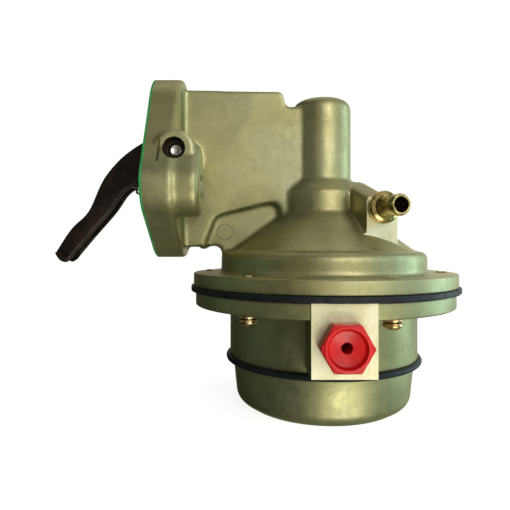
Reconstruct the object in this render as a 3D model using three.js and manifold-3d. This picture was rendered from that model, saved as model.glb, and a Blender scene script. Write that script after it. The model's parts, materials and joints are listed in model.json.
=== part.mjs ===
// Cam-driven diaphragm lift pump for an inboard engine, with its mounting gasket.
// Millimetres, +Z up. Shapes are drawn in the pump's own frame: the pump axis is x = y = 0, the
// bolt line is 105 above z = 0, the mounting flange is towards -x and the inlet port towards -y.
// The last lines move the whole pump so that the exported origin is the point midway between the
// two mounting bolt holes, on the engine side of the gasket.
import * as THREE from "three";
import { mergeVertices } from "three/addons/utils/BufferGeometryUtils.js";
import Module from "manifold-3d";

const wasm = await Module();
wasm.setup();

// ---------------------------------------------------------------- driving dimensions
const FIT = 0.05; // gap between faces that rest on each other
const TURN = 0.3; // gap between a turned piece and the bore that holds it

// mounting flange, drawn in the y-z plane about the bolt line
const FLANGE_X = -81; // face that meets the gasket
const FLANGE_THICK = 12.5;
const GASKET_THICK = 1;
const BOLT_Z = 105; // height of the bolt line
const BOLT_Y = 28; // bolt hole to centre line
const BOLT_HOLE_R = 5.5;
const EAR_R = 14.8;
const LOW_LOBE = { z: -5.5, r: 26.5 };
const HIGH_LOBE = { z: 30.5, r: 25.5 };
const EAR_BOSS_X = -57.5; // back of the bolt bosses
const PINCH_R = 14.4; // gasket land left round each bolt hole

// rocker
const PIVOT_X = -68.5;
const PIVOT_Z = 120.7;
const PIN_R = 3.5;
const PIN_HALF = 30;
const PIN_RECESS_R = 4.9;
const BUSH_R = 4.4;
const ARM_HALF = 6.5;
const ARM_INNER_HALF = 4;
const LEVER_HALF = 2.5;

// arm box, tower, neck and dome of the upper housing
const BOX_HALF = 10.5;
const WEB_HALF = 8;
const BOX_BORE_HALF = 7.5;
const TOWER_R = 14.5;
const TOWER_TOP = 151.4;
const TOWER_BORE_R = 10.5;
const COLLAR_R = 20;
const DOME_R = 50.4;
const RIM_R = 64;
const RIM_LOW = 59.65;
const RIM_HIGH = 65.7;
const NECK_CEILING = 90.5;

// diaphragm stack
const DIAPHRAGM_R = 65.3;
const DIAPHRAGM_LOW = 57;
const DIAPHRAGM_HIGH = 59.6;
const PLATE_R = 30;
const ROD_R = 3;
const EYE_TOP = 131;

// middle casting and bowl
const BODY_LOW = 25.4;
const BODY_R = 46;
const DECK_LOW = 42.5;
const DECK_HIGH = 48.5;
const VALVE_Y = 22;
const PORT_Z = 41;
const PORT_R = 7.2;
const PORT_FACE = 62.5;
const PORT_BOSS_HALF = 12.8;
const PORT_BOSS_LOW = 28.4;
const BOWL_TOP = 23.4;
const BOWL_UNDERSIDE = 0.8;
const BEAD_R = 46.5;
const BEAD_Z = 24.4;

// flange screws
const SCREW_COUNT = 6;
const SCREW_CIRCLE_R = 57.5;
const SCREW_R = 2.4;
const SCREW_HOLE_R = 2.7;
const SCREW_FIRST_DEG = 20.6; // first screw, turned from the inlet port towards +x
const LOWER_RIM_UNDERSIDE = 50.2;

// hose nipple on the dome
const NIPPLE_DEG = 15; // turned from the inlet port towards +x
const NIPPLE_Z = 95.6;
const NIPPLE_SIDE = 14.4; // sideways from the pump axis
const NIPPLE_SEAT = 34.6; // pad face, outwards from the pump axis
const NIPPLE_END = 50;

// ---------------------------------------------------------------- materials
const paint = (color, roughness, metalness) =>
  new THREE.MeshStandardMaterial({ color, roughness, metalness });
const castMetal = () => paint(0x9a966b, 0.45, 0.8);
const zincSteel = () => paint(0xb9a25a, 0.35, 0.9);
const darkSteel = () => paint(0x1c1510, 0.4, 0.7);
const brightSteel = () => paint(0xb8b8b4, 0.3, 0.9);
const brass = () => paint(0xb58f3c, 0.3, 0.9);
const blackRubber = () => paint(0x14181c, 0.7, 0);
const redPlastic = () => paint(0xd01f22, 0.4, 0);
const greenFibre = () => paint(0x1b8a32, 0.8, 0);

// ---------------------------------------------------------------- solids
function toSolid(geometry) {
  const bare = geometry.index ? geometry.toNonIndexed() : geometry.clone();
  bare.deleteAttribute("normal");
  bare.deleteAttribute("uv");
  const merged = mergeVertices(bare, 1e-4);
  const mesh = new wasm.Mesh({
    numProp: 3,
    vertProperties: merged.attributes.position.array,
    triVerts: new Uint32Array(merged.index.array),
  });
  return new wasm.Manifold(mesh);
}

function toGeometry(solid) {
  const mesh = solid.getMesh();
  const geometry = new THREE.BufferGeometry();
  geometry.setAttribute("position", new THREE.BufferAttribute(mesh.vertProperties, 3));
  geometry.setIndex(new THREE.BufferAttribute(mesh.triVerts, 1));
  const flat = geometry.toNonIndexed();
  flat.computeVertexNormals();
  return flat;
}

const join = (first, ...others) => others.reduce((sum, solid) => sum.add(solid), first);
const cut = (first, ...others) => others.reduce((rest, solid) => rest.subtract(solid), first);

const pump = new THREE.Group();

function place(name, solid, material) {
  const mesh = new THREE.Mesh(toGeometry(solid), material);
  mesh.name = name;
  pump.add(mesh);
}

// A closed profile of [radius, z] points, anticlockwise, turned about the pump axis.
function turned(profile, segments = 36) {
  const points = profile.map(([r, z]) => new THREE.Vector2(r, z));
  return toSolid(new THREE.LatheGeometry(points, segments).rotateX(Math.PI / 2));
}

// A ring with a rectangular section.
const ring = (inner, outer, low, high, segments = 20) =>
  turned([[inner, low], [outer, low], [outer, high], [inner, high], [inner, low]], segments);

function outline(points) {
  return new THREE.Shape(points.map(([u, v]) => new THREE.Vector2(u, v)));
}

const extrude = (shape, depth, curveSegments = 4) =>
  new THREE.ExtrudeGeometry(shape, { depth, curveSegments, bevelEnabled: false });

// An outline of (x, z) points, as thick as twice half, centred on y = 0.
function slabY(shape, half, curveSegments) {
  const geometry = extrude(shape, 2 * half, curveSegments);
  return toSolid(geometry.rotateX(Math.PI / 2).translate(0, half, 0));
}

// An outline of (y, z) points measured from the bolt line, from x0 to x1.
function slabX(shape, x0, x1, curveSegments) {
  const turn = new THREE.Matrix4().makeBasis(
    new THREE.Vector3(0, 1, 0),
    new THREE.Vector3(0, 0, 1),
    new THREE.Vector3(1, 0, 0),
  );
  const geometry = extrude(shape, x1 - x0, curveSegments).applyMatrix4(turn);
  return toSolid(geometry.translate(x0, 0, BOLT_Z));
}

function block(x0, x1, y0, y1, z0, z1) {
  const geometry = new THREE.BoxGeometry(x1 - x0, y1 - y0, z1 - z0);
  return toSolid(geometry.translate((x0 + x1) / 2, (y0 + y1) / 2, (z0 + z1) / 2));
}

// A round bar between two points.
function bar(radius, from, to, segments = 20) {
  const start = new THREE.Vector3(...from);
  const along = new THREE.Vector3(...to).sub(start);
  const geometry = new THREE.CylinderGeometry(radius, radius, along.length(), segments);
  const up = new THREE.Vector3(0, 1, 0);
  const turn = new THREE.Quaternion().setFromUnitVectors(up, along.clone().normalize());
  const middle = start.addScaledVector(along, 0.5);
  return toSolid(geometry.applyQuaternion(turn).translate(middle.x, middle.y, middle.z));
}

// The belt round a list of circles, taken anticlockwise.
function belt(circles) {
  const count = circles.length;
  const tangentAngle = (a, b) => {
    const heading = Math.atan2(b.v - a.v, b.u - a.u);
    const length = Math.hypot(b.u - a.u, b.v - a.v);
    return heading - Math.acos((a.r - b.r) / length);
  };
  const shape = new THREE.Shape();
  circles.forEach((circle, i) => {
    const before = circles[(i + count - 1) % count];
    const after = circles[(i + 1) % count];
    const start = tangentAngle(before, circle);
    shape.absarc(circle.u, circle.v, circle.r, start, tangentAngle(circle, after), false);
  });
  return shape;
}

// A round-wire coil spring between two points.
class Coil extends THREE.Curve {
  constructor(radius, turns, height) {
    super();
    Object.assign(this, { radius, turns, height });
  }
  getPoint(t) {
    const angle = 2 * Math.PI * this.turns * t;
    return new THREE.Vector3(
      this.radius * Math.cos(angle),
      this.radius * Math.sin(angle),
      this.height * t,
    );
  }
}

function spring(wire, radius, turns, from, to, steps) {
  const start = new THREE.Vector3(...from);
  const along = new THREE.Vector3(...to).sub(start);
  const section = new THREE.Shape();
  section.absarc(0, 0, wire, 0, 2 * Math.PI, false);
  const geometry = new THREE.ExtrudeGeometry(section, {
    steps,
    curveSegments: 3,
    extrudePath: new Coil(radius, turns, along.length()),
    bevelEnabled: false,
  });
  const up = new THREE.Vector3(0, 0, 1);
  const turn = new THREE.Quaternion().setFromUnitVectors(up, along.normalize());
  return toSolid(geometry.applyQuaternion(turn).translate(start.x, start.y, start.z));
}

// ---------------------------------------------------------------- shared outlines
// The flange outline, drawn in by the given amounts at its lobes and its ears.
function flangeOutline(lowInset, highInset, earInset) {
  const ear = EAR_R - earInset;
  return belt([
    { u: BOLT_Y, v: 0, r: ear },
    { u: 0, v: HIGH_LOBE.z, r: HIGH_LOBE.r - highInset },
    { u: -BOLT_Y, v: 0, r: ear },
    { u: 0, v: LOW_LOBE.z, r: LOW_LOBE.r - lowInset },
  ]);
}

function boltHoles(radius, x0, x1) {
  return join(
    ...[-1, 1].map((side) =>
      bar(radius, [x0, side * BOLT_Y, BOLT_Z], [x1, side * BOLT_Y, BOLT_Z]),
    ),
  );
}

// The window through the gasket: the inset outline less the land round each bolt hole.
function window(inset, x0, x1) {
  const opening = slabX(flangeOutline(11 + inset, 14 + inset, 12.4 + inset), x0, x1, 4);
  return cut(opening, boltHoles(PINCH_R + inset, x0 - 1, x1 + 1));
}

const screwAngles = Array.from(
  { length: SCREW_COUNT },
  (_, i) => THREE.MathUtils.degToRad(SCREW_FIRST_DEG + (360 / SCREW_COUNT) * i),
);
const screwSpot = (angle) => [
  SCREW_CIRCLE_R * Math.sin(angle),
  -SCREW_CIRCLE_R * Math.cos(angle),
];

function screwHoles(low, high) {
  return join(
    ...screwAngles.map((angle) => {
      const [x, y] = screwSpot(angle);
      return bar(SCREW_HOLE_R, [x, y, low], [x, y, high], 12);
    }),
  );
}

// Outwards and sideways from the pump axis in the hose nipple's own direction.
const nippleAngle = THREE.MathUtils.degToRad(NIPPLE_DEG);
const nipplePoint = (out, side, z) => [
  out * Math.sin(nippleAngle) + side * Math.cos(nippleAngle),
  -out * Math.cos(nippleAngle) + side * Math.sin(nippleAngle),
  z,
];

// ---------------------------------------------------------------- mounting gasket
function mountingGasket() {
  const x0 = FLANGE_X - GASKET_THICK;
  const sheet = slabX(flangeOutline(0, 0, 0), x0, FLANGE_X - FIT, 5);
  const holes = boltHoles(BOLT_HOLE_R, x0 - 1, FLANGE_X + 1);
  return cut(sheet, holes, window(0, x0 - 1, FLANGE_X + 1));
}

// ---------------------------------------------------------------- upper housing
const housingProfile = [
  [0, RIM_LOW],
  [RIM_R - 0.6, RIM_LOW],
  [RIM_R, RIM_LOW + 0.6],
  [RIM_R, RIM_HIGH - 0.6],
  [RIM_R - 0.6, RIM_HIGH],
  [DOME_R + 1, RIM_HIGH],
  [DOME_R, RIM_HIGH + 1],
  [DOME_R, 71.5],
  [DOME_R - 0.9, 73.4],
  [DOME_R - 2.8, 74.9],
  [COLLAR_R + 1.2, 93.6],
  [COLLAR_R, 95.2],
  [COLLAR_R, 103.2],
  [COLLAR_R - 0.8, 104.4],
  [TOWER_R + 0.9, 109.8],
  [TOWER_R, 111.5],
  [TOWER_R, 142.5],
  [TOWER_R - 0.9, 146.4],
  [TOWER_R - 3.2, 149.6],
  [TOWER_R - 6.8, TOWER_TOP],
  [0, TOWER_TOP],
];

const chamberProfile = [
  [0, RIM_LOW - 1],
  [46.5, RIM_LOW - 1],
  [46.5, 70.5],
  [44.8, 72.5],
  [16.5, NECK_CEILING],
  [0, NECK_CEILING],
];

const boxOutline = () =>
  outline([
    [-72, 78.4],
    [-58.1, 78.2],
    [-53.8, 89.6],
    [-52, 92],
    [-49, 93.4],
    [-28.4, 99.1],
    [-24, 99],
    [-21.7, 96.8],
    [-20.8, 92],
    [-20.8, 86],
    [-12, 86],
    [-3, 110],
    [-3, 146],
    [-18.3, 146],
    [-19.3, 150.6],
    [-21.8, 152.8],
    [-72, 153.8],
  ]);

const webOutline = () =>
  outline([
    [-70, 78.6],
    [-56, 78.6],
    [-52.8, 77.8],
    [-50.6, 75.6],
    [-49.8, 72.6],
    [-49.8, RIM_HIGH - 0.5],
    [-30, RIM_HIGH - 0.5],
    [-COLLAR_R, 88],
    [-COLLAR_R, 100],
    [-60, 100],
  ]);

const boxBore = () =>
  outline([
    [FLANGE_X - 1, 86],
    [-62, 85],
    [-57, 86.5],
    [-52.5, 97],
    [-49, 99],
    [-28, 104.5],
    [0, 106.5],
    [0, 142],
    [-24, 142],
    [-25, 149],
    [-70, 149.6],
    [-71.5, 145.5],
    [FLANGE_X - 1, 145.5],
  ]);

function earBoss(side) {
  const shape = belt([
    { u: side * 27, v: 10, r: 9 },
    { u: side * BOLT_Y, v: 0, r: 13.6 },
  ]);
  return slabX(shape, FLANGE_X + 1, EAR_BOSS_X, 5);
}

function pinBoss(side) {
  return bar(8.6, [PIVOT_X, side * 8, PIVOT_Z], [PIVOT_X, side * 35.6, PIVOT_Z]);
}

// The pad that carries the hose nipple, with a gusset back to the neck.
function nipplePad() {
  const shape = outline([
    [0, 84],
    [28, 74],
    [NIPPLE_SEAT, 74],
    [NIPPLE_SEAT, 100.6],
    [31.5, 101.6],
    [8, 111],
    [0, 111],
  ]);
  const width = 15;
  const geometry = extrude(shape, width).rotateX(Math.PI / 2);
  const out = nipplePoint(1, 0, 0);
  const side = nipplePoint(0, 1, 0);
  const turn = new THREE.Matrix4().makeBasis(
    new THREE.Vector3(...out),
    new THREE.Vector3(...side),
    new THREE.Vector3(0, 0, 1),
  );
  const sideways = NIPPLE_SIDE + width / 2;
  return toSolid(geometry.translate(0, sideways, 0).applyMatrix4(turn));
}

function upperHousing() {
  const reach = FLANGE_X - 1;
  const shell = join(
    turned(housingProfile),
    slabY(boxOutline(), BOX_HALF),
    slabY(webOutline(), WEB_HALF),
    slabX(flangeOutline(0, 0, 0), FLANGE_X, FLANGE_X + FLANGE_THICK, 5),
    earBoss(-1),
    earBoss(1),
    pinBoss(-1),
    pinBoss(1),
    nipplePad(),
  );
  const pivot = (radius, half) =>
    bar(radius, [PIVOT_X, -half, PIVOT_Z], [PIVOT_X, half, PIVOT_Z]);
  const farRecess = [1, -1].map((side) =>
    bar(PIN_RECESS_R, [PIVOT_X, side * PIN_HALF, PIVOT_Z], [PIVOT_X, side * 42, PIVOT_Z]),
  );
  const hollow = cut(
    shell,
    turned(chamberProfile),
    bar(9.6, [0, 0, NECK_CEILING - 1], [0, 0, 94.5]),
    bar(6.8, [0, 0, 94], [0, 0, 104]),
    bar(TOWER_BORE_R, [0, 0, 103.6], [0, 0, 146]),
    slabY(boxBore(), BOX_BORE_HALF),
    window(1.2, reach, FLANGE_X + 8),
    boltHoles(BOLT_HOLE_R, reach, EAR_BOSS_X + 1),
    pivot(PIN_R + TURN, PIN_HALF + 1),
    ...farRecess,
    screwHoles(RIM_LOW - 1, RIM_HIGH + 1),
    bar(4.6, nipplePoint(NIPPLE_SEAT - 8, NIPPLE_SIDE, NIPPLE_Z),
      nipplePoint(NIPPLE_SEAT + 1, NIPPLE_SIDE, NIPPLE_Z)),
    bar(2, nipplePoint(NIPPLE_SEAT - 9, NIPPLE_SIDE, NIPPLE_Z),
      nipplePoint(22, NIPPLE_SIDE, 78), 12),
  );
  const springSeat = bar(4.6, [-70.4, 0, 82], [-74.6, 0, 87.4], 16);
  return hollow.add(springSeat);
}

// ---------------------------------------------------------------- rocker
function armOutline(dx, dz) {
  const shape = new THREE.Shape();
  const shift = (points) => points.map(([x, z]) => new THREE.Vector2(x + dx, z + dz));
  const back = [[-70, 132], [-82, 132.6], [-96.6, 124.6], [-108, 112.2], [-115.8, 95.8],
    [-124.4, 87], [-132.4, 74.8]];
  const belly = [[-116, 83], [-105, 95.6], [-97, 106.2], [-84, 111.6], [-70, 111.6],
    [-57, 116.5]];
  shape.moveTo(-57 + dx, 128.5 + dz);
  shape.splineThru(shift(back));
  shape.splineThru(shift([[-130.4, 71.8], [-127.6, 70.6], [-125.2, 72]]));
  shape.splineThru(shift(belly));
  return shape;
}

function rockerArm() {
  const blank = slabY(armOutline(0, 0), ARM_HALF, 3);
  const channel = slabY(armOutline(1.9, -2.3), ARM_INNER_HALF, 3);
  const hole = bar(BUSH_R + FIT, [PIVOT_X, -9, PIVOT_Z], [PIVOT_X, 9, PIVOT_Z]);
  return cut(blank, channel, hole);
}

function innerLever() {
  const hub = bar(6.2, [PIVOT_X, -3.7, PIVOT_Z], [PIVOT_X, 3.7, PIVOT_Z]);
  const blade = outline([
    [-68, 115],
    [-58, 117.2],
    [-8, 119.4],
    [3, 120.6],
    [5.4, 122.6],
    [4.6, 125.2],
    [1.2, 126.6],
    [-1.2, 126.6],
    [-8, 125.2],
    [-58, 124.6],
    [-68, 126.4],
  ]);
  const hole = bar(BUSH_R + FIT, [PIVOT_X, -9, PIVOT_Z], [PIVOT_X, 9, PIVOT_Z]);
  return cut(join(hub, slabY(blade, LEVER_HALF)), hole);
}

function tubeAcross(inner, outer, half) {
  const wall = bar(outer, [PIVOT_X, -half, PIVOT_Z], [PIVOT_X, half, PIVOT_Z]);
  return cut(wall, bar(inner, [PIVOT_X, -half - 1, PIVOT_Z], [PIVOT_X, half + 1, PIVOT_Z]));
}

// ---------------------------------------------------------------- pull rod and diaphragm
function pullRod() {
  const shaft = turned([
    [0, 49.6],
    [ROD_R - 0.4, 49.6],
    [ROD_R, 50.2],
    [ROD_R, 61],
    [5, 61],
    [5, 62.8],
    [ROD_R, 63.4],
    [ROD_R, 114],
    [0, 114],
  ], 24);
  const eye = block(-4.5, 4.5, -6, 6, 112, EYE_TOP);
  return cut(join(shaft, eye), block(-6, 6, -3.2, 3.2, 118, 127));
}

const diaphragmProfile = [
  [3.3, 57.3],
  [31, 57.3],
  [35, 55.6],
  [39, 55.6],
  [42.2, DIAPHRAGM_LOW],
  [DIAPHRAGM_R - 0.4, DIAPHRAGM_LOW],
  [DIAPHRAGM_R, DIAPHRAGM_LOW + 0.4],
  [DIAPHRAGM_R, DIAPHRAGM_HIGH - 0.4],
  [DIAPHRAGM_R - 0.4, DIAPHRAGM_HIGH],
  [43.5, DIAPHRAGM_HIGH],
  [39.4, 57.8],
  [35.6, 57.8],
  [31.6, 59.3],
  [3.3, 59.3],
  [3.3, 57.3],
];

const upperPlateProfile = [
  [3.2, 59.35],
  [PLATE_R - 2, 59.35],
  [PLATE_R, 60.6],
  [PLATE_R - 0.4, 61.9],
  [PLATE_R - 1.8, 61.4],
  [PLATE_R - 3, 60.9],
  [3.2, 60.9],
  [3.2, 59.35],
];

const lowerPlateProfile = [
  [3.2, 55.7],
  [PLATE_R - 3, 55.7],
  [PLATE_R - 1.2, 54.6],
  [PLATE_R, 55.4],
  [PLATE_R - 1.6, 57.2],
  [3.2, 57.2],
  [3.2, 55.7],
];

function hexagon(acrossFlats, low, high, hole) {
  const radius = acrossFlats / Math.sqrt(3);
  const prism = bar(radius, [0, 0, low], [0, 0, high], 6);
  return cut(prism, bar(hole, [0, 0, low - 1], [0, 0, high + 1]));
}

// ---------------------------------------------------------------- valve body
const bodyProfile = [
  [0, BODY_LOW],
  [BODY_R - 1.2, BODY_LOW],
  [BODY_R - 0.5, BODY_LOW + 1.2],
  [BODY_R, 43],
  [BODY_R, 49.2],
  [BODY_R + 1, LOWER_RIM_UNDERSIDE],
  [RIM_R - 1.6, LOWER_RIM_UNDERSIDE],
  [RIM_R - 1, LOWER_RIM_UNDERSIDE + 0.6],
  [RIM_R - 1, DIAPHRAGM_LOW - 0.7],
  [RIM_R - 1.6, DIAPHRAGM_LOW - FIT],
  [0, DIAPHRAGM_LOW - FIT],
];

function valveBody() {
  const boss = (side) =>
    block(-PORT_BOSS_HALF, PORT_BOSS_HALF, Math.min(0, side * PORT_FACE),
      Math.max(0, side * PORT_FACE), PORT_BOSS_LOW, DIAPHRAGM_LOW - FIT);
  const cavity = cut(
    ring(7.5, 41.5, BODY_LOW - 1, DECK_LOW, 36),
    block(-50, 50, -2.5, 2.5, 0, 60),
  );
  const port = bar(PORT_R, [0, -PORT_FACE - 1, PORT_Z], [0, PORT_FACE + 1, PORT_Z]);
  const inner = block(-20, 20, -38, 38, 25, 50);
  const seat = (side) =>
    bar(9, [0, side * VALVE_Y, DECK_LOW - 1], [0, side * VALVE_Y, DECK_HIGH + 1]);
  return cut(
    join(turned(bodyProfile), boss(-1), boss(1)),
    bar(42.5, [0, 0, DECK_HIGH], [0, 0, DIAPHRAGM_LOW + 1], 36),
    cavity,
    cut(port, inner),
    seat(-1),
    seat(1),
    bar(3.3, [0, 0, BODY_LOW - 1], [0, 0, 40]),
    screwHoles(LOWER_RIM_UNDERSIDE - 1, DIAPHRAGM_LOW + 1),
  );
}

// A valve cage: a seat ring, a guide wall and a pierced roof. Turned over, it is the outlet's.
const cageProfile = [
  [4.5, 0],
  [8.8, 0],
  [8.8, 7.4],
  [3, 7.4],
  [3, 6.4],
  [7.6, 6.4],
  [7.6, 1.9],
  [4.5, 1.9],
  [4.5, 0],
];
const CAGE_LOW = 42.6;
const DISC_LOW = 1.95;
const DISC_THICK = 1;
const VALVE_SPRING_TOP = 6.3;

// Places a valve's three pieces; the outlet's is the same one upside down.
function placeValve(name, y, flipped) {
  const stand = (solid) => {
    const upright = flipped ? solid.rotate([180, 0, 0]).translate([0, 0, 7.4]) : solid;
    return upright.translate([0, y, CAGE_LOW]);
  };
  const discTop = DISC_LOW + DISC_THICK;
  const disc = bar(6.9, [0, 0, DISC_LOW], [0, 0, discTop]);
  const coil = spring(0.3, 3.9, 3, [0, 0, discTop + 0.35], [0, 0, VALVE_SPRING_TOP - 0.35], 24);
  place(name + "_valve_cage", stand(turned(cageProfile, 20)), brass());
  place(name + "_valve_disc", stand(disc), blackRubber());
  place(name + "_valve_spring", stand(coil), brightSteel());
}

// ---------------------------------------------------------------- bowl and its seal
const bowlProfile = [
  [3.4, 5.2],
  [11.5, 5.2],
  [12.4, BOWL_UNDERSIDE],
  [34.8, BOWL_UNDERSIDE],
  [37.7, BOWL_UNDERSIDE + 0.6],
  [40.3, BOWL_UNDERSIDE + 2.4],
  [42, 5.4],
  [42.8, 8.4],
  [43.6, 17],
  [44.3, BOWL_TOP],
  [40.5, BOWL_TOP],
  [39.8, 17],
  [39.2, 8.8],
  [38.2, 6],
  [36, 4.2],
  [33.5, 3.8],
  [16, 3.8],
  [14.6, 8.2],
  [6.8, 8.8],
  [6.8, BOWL_TOP],
  [3.4, BOWL_TOP],
  [3.4, 5.2],
];

function beadProfile() {
  const low = BOWL_TOP + FIT;
  const high = BODY_LOW - FIT;
  const bead = 1.5;
  const points = [[3.4, low], [44.6, low]];
  for (let i = 0; i <= 6; i += 1) {
    const angle = THREE.MathUtils.degToRad(-129 + 43 * i);
    points.push([BEAD_R + bead * Math.cos(angle), BEAD_Z + bead * Math.sin(angle)]);
  }
  return [...points, [44.6, high], [3.4, high], [3.4, low]];
}

function bowlBolt() {
  const head = bar(9 / Math.sqrt(3), [0, 0, 1.1], [0, 0, 4], 6);
  return join(head, bar(3, [0, 0, 3.5], [0, 0, 38]));
}

// ---------------------------------------------------------------- port plugs
const PLUG_PROFILE = [
  [2.2, -11],
  [PORT_R - TURN, -11],
  [PORT_R - TURN, 0.1],
  [8.9, 0.1],
  [8.9, 7],
  [7.6, 7],
  [6.9, 5.4],
  [2.2, 4.4],
  [2.2, -11],
];

// A plug with a six-sided head and a dished face, in the port on the given side of the pump.
function portPlug(side) {
  const body = turned(PLUG_PROFILE, 20);
  const hexHead = hexagon(17.8, 0.1, 6.6, 8).rotate([0, 0, 30]);
  const facing = join(body, hexHead).rotate([side * -90, 0, 0]);
  return facing.translate([0, side * PORT_FACE, PORT_Z]);
}

// ---------------------------------------------------------------- hose nipple
function ventNipple() {
  const length = NIPPLE_END - NIPPLE_SEAT;
  const profile = [
    [3.3, -7],
    [4.2, -7],
    [4.2, 0.1],
    [7.2, 0.1],
    [7.2, 2.8],
    [4.6, 4.4],
    [4.1, length - 4.2],
    [4.65, length - 3.2],
    [4.65, length],
    [3.3, length],
    [3.3, -7],
  ];
  const upright = turned(profile, 20);
  const tipped = upright.rotate([90, 0, 0]).rotate([0, 0, NIPPLE_DEG]);
  return tipped.translate(nipplePoint(NIPPLE_SEAT, NIPPLE_SIDE, NIPPLE_Z));
}

// ---------------------------------------------------------------- flange screws
const HEAD_LOW = 45.8;
const HEAD_HIGH = 48.75;

function flangeScrew() {
  const profile = [
    [0, HEAD_LOW],
    [2.6, HEAD_LOW],
    [3.6, HEAD_LOW + 0.6],
    [3.85, HEAD_LOW + 1.4],
    [3.85, HEAD_HIGH],
    [SCREW_R, HEAD_HIGH],
    [SCREW_R, RIM_HIGH + 0.3],
    [SCREW_R - 0.4, RIM_HIGH + 0.7],
    [0, RIM_HIGH + 0.7],
  ];
  const slot = (turn) =>
    block(-2.2, 2.2, -0.45, 0.45, HEAD_LOW - 1, HEAD_LOW + 1.3).rotate([0, 0, turn]);
  return cut(turned(profile, 12), slot(0), slot(90));
}

function lockWasher() {
  const whole = ring(2.7, 4.1, HEAD_HIGH + FIT, LOWER_RIM_UNDERSIDE - FIT, 12);
  return cut(whole, block(0, 6, -0.3, 0.3, 0, 60));
}

// ---------------------------------------------------------------- assembly
place("mounting_gasket", mountingGasket(), greenFibre());
place("upper_housing", upperHousing(), castMetal());
place("rocker_pivot_pin",
  bar(PIN_R, [PIVOT_X, -PIN_HALF + 0.5, PIVOT_Z], [PIVOT_X, PIN_HALF - 0.5, PIVOT_Z]),
  brightSteel());
place("rocker_bushing", tubeAcross(PIN_R + 0.1, BUSH_R, 7.2), brass());
place("rocker_arm", rockerArm(), darkSteel());
place("inner_lever", innerLever(), darkSteel());
place("rocker_return_spring",
  spring(0.65, 3, 8, [-75.8, 0, 88.8], [-97.6, 0, 115.6], 64), brightSteel());
place("pull_rod", pullRod(), brightSteel());
place("rod_guide_bushing", ring(ROD_R + 0.1, 6.7, 94.7, 103.4), brass());
place("oil_seal", ring(ROD_R + 0.1, 9.4, NECK_CEILING + 0.1, 94.3), blackRubber());
place("seal_retainer", ring(4.2, 15.5, 89.2, NECK_CEILING - 0.1), zincSteel());
place("diaphragm_spring", spring(1.1, 11.5, 5, [0, 0, 62.2], [0, 0, 88], 55), brightSteel());
place("diaphragm", cut(turned(diaphragmProfile), screwHoles(50, 70)), blackRubber());
place("upper_diaphragm_plate", turned(upperPlateProfile, 24), zincSteel());
place("lower_diaphragm_plate", turned(lowerPlateProfile, 24), zincSteel());
place("rod_lock_washer", ring(ROD_R + 0.1, 5.2, 54.95, 55.65), zincSteel());
place("rod_nut", hexagon(10, 50.6, 54.9, ROD_R + 0.05), zincSteel());
place("vent_nipple", ventNipple(), brass());
place("valve_body", valveBody(), castMetal());
placeValve("inlet", -VALVE_Y, false);
placeValve("outlet", VALVE_Y, true);
place("pulsator_diaphragm", turned(beadProfile()), blackRubber());
place("bowl", turned(bowlProfile), castMetal());
place("bowl_bolt_washer", ring(3.2, 7, 4.1, 5.1), zincSteel());
place("bowl_bolt", bowlBolt(), zincSteel());
place("inlet_plug", portPlug(-1), redPlastic());
place("outlet_plug", portPlug(1), redPlastic());
screwAngles.forEach((angle, i) => {
  const [x, y] = screwSpot(angle);
  const turn = THREE.MathUtils.radToDeg(angle) + 40 * i;
  const put = (solid) => solid.rotate([0, 0, turn]).translate([x, y, 0]);
  place("flange_screw_" + (i + 1), put(flangeScrew()), zincSteel());
  place("flange_lock_washer_" + (i + 1), put(lockWasher()), zincSteel());
});

pump.position.set(GASKET_THICK - FLANGE_X, 0, -BOLT_Z);
const part = new THREE.Group();
part.add(pump);

export default part;
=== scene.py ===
"""Cam-driven diaphragm lift pump: the finished look of the CAD part.

Shapes are drawn in millimetres in the pump's own frame (pump axis at x = y = 0, flange towards -x,
inlet port towards -y) and moved to the row frame, in metres, when a piece is finished.
"""

import json
import math
import random

import bmesh
import bpy
from mathutils import Matrix, Vector

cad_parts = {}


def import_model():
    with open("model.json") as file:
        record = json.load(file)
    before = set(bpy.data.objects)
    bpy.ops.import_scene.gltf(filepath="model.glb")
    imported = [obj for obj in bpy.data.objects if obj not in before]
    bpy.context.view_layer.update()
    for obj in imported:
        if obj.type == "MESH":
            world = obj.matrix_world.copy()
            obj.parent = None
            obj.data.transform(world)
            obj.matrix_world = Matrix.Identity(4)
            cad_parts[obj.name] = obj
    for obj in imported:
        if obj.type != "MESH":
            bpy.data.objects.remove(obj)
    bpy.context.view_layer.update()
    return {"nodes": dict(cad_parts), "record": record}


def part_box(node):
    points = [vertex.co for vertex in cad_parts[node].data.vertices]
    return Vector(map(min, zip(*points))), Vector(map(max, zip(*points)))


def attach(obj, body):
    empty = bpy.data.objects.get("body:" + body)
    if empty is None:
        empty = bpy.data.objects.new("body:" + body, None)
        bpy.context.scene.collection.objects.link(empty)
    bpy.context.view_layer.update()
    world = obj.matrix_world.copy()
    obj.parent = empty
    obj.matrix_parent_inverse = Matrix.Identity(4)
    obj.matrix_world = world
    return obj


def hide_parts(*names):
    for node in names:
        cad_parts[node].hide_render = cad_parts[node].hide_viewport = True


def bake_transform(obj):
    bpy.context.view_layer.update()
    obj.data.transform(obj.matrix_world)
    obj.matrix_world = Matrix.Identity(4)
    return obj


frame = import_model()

SEED = 7

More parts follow.
